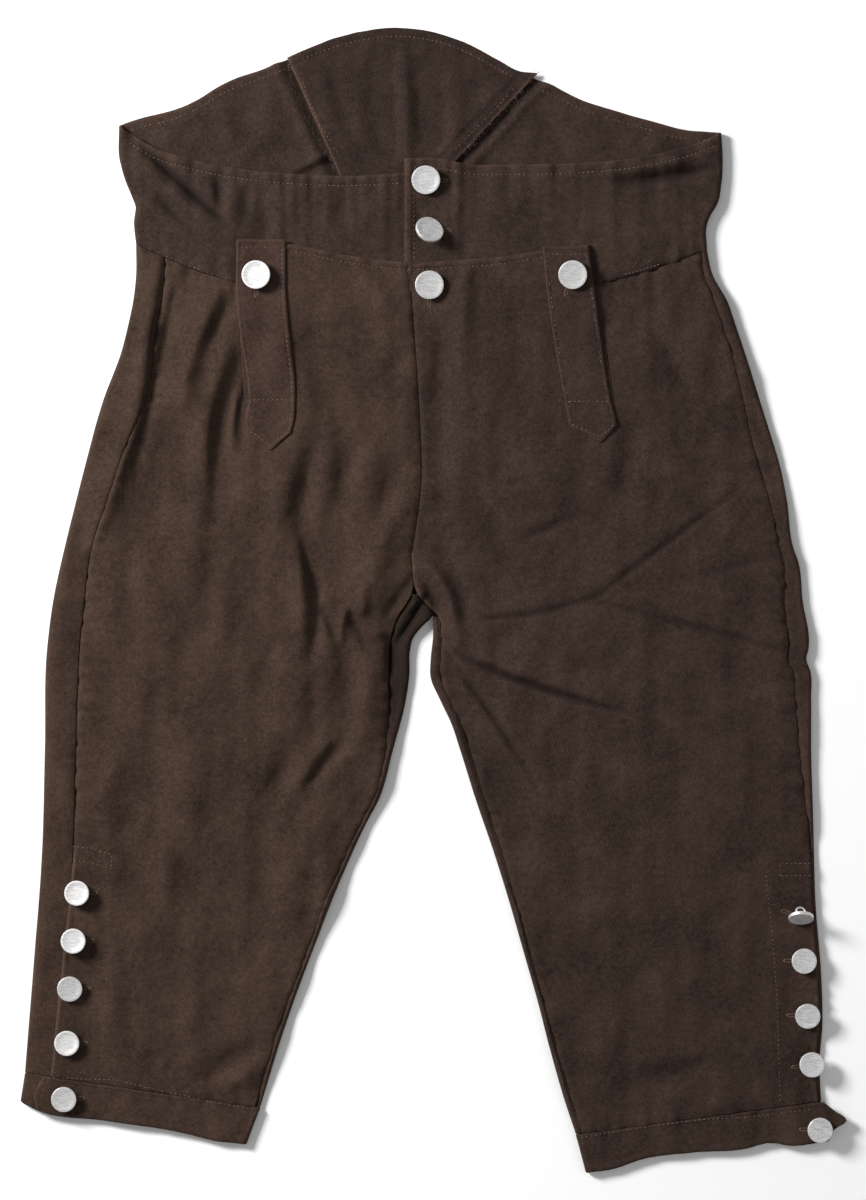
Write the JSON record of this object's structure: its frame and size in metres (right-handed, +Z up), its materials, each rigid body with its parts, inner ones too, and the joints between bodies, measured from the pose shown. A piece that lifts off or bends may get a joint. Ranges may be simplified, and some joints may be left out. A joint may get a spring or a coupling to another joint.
{
  "type": "fall-front knee breeches",
  "caption": "Historic knee breeches in dark brown twill with a narrow buttoned front fall, deep waistband, back gusset and buttoned knee bands, laid flat.",
  "frame": {"origin": "centre of the footprint of the laid-out garment, on the surface it lies on", "axes": "+Y from the knees to the waist, +X to the wearer's left, +Z up off the surface, out of the front of the garment"},
  "size_m": [0.578, 0.8019, 0.022],
  "materials": {
    "brown_twill": "matte brushed twill, slightly fuzzy",
    "brown_twill_inside": "matte, the inside of the same cloth",
    "cast_pewter": "dull silver-grey casting with a fine brushed and pitted face"
  },
  "bodies": {
    "root": {"front_right": "brown_twill", "front_left": "brown_twill", "fall_welt_right": "brown_twill", "fall_welt_left": "brown_twill", "back_right": "brown_twill", "back_left": "brown_twill", "waistband_right": "brown_twill", "waistband_left": "brown_twill", "back_gusset": "brown_twill_inside", "knee_band_right": "brown_twill", "knee_band_left": "brown_twill", "button_waist_upper": "cast_pewter", "button_waist_lower": "cast_pewter", "button_fall_centre": "cast_pewter", "button_fall_right": "cast_pewter", "button_fall_left": "cast_pewter", "button_knee_right_1": "cast_pewter", "button_knee_right_2": "cast_pewter", "button_knee_right_3": "cast_pewter", "button_knee_right_4": "cast_pewter", "button_knee_right_5": "cast_pewter", "button_knee_left_1": "cast_pewter", "button_knee_left_2": "cast_pewter", "button_knee_left_3": "cast_pewter", "button_knee_left_4": "cast_pewter", "button_knee_left_5": "cast_pewter"}
  },
  "joints": []
}
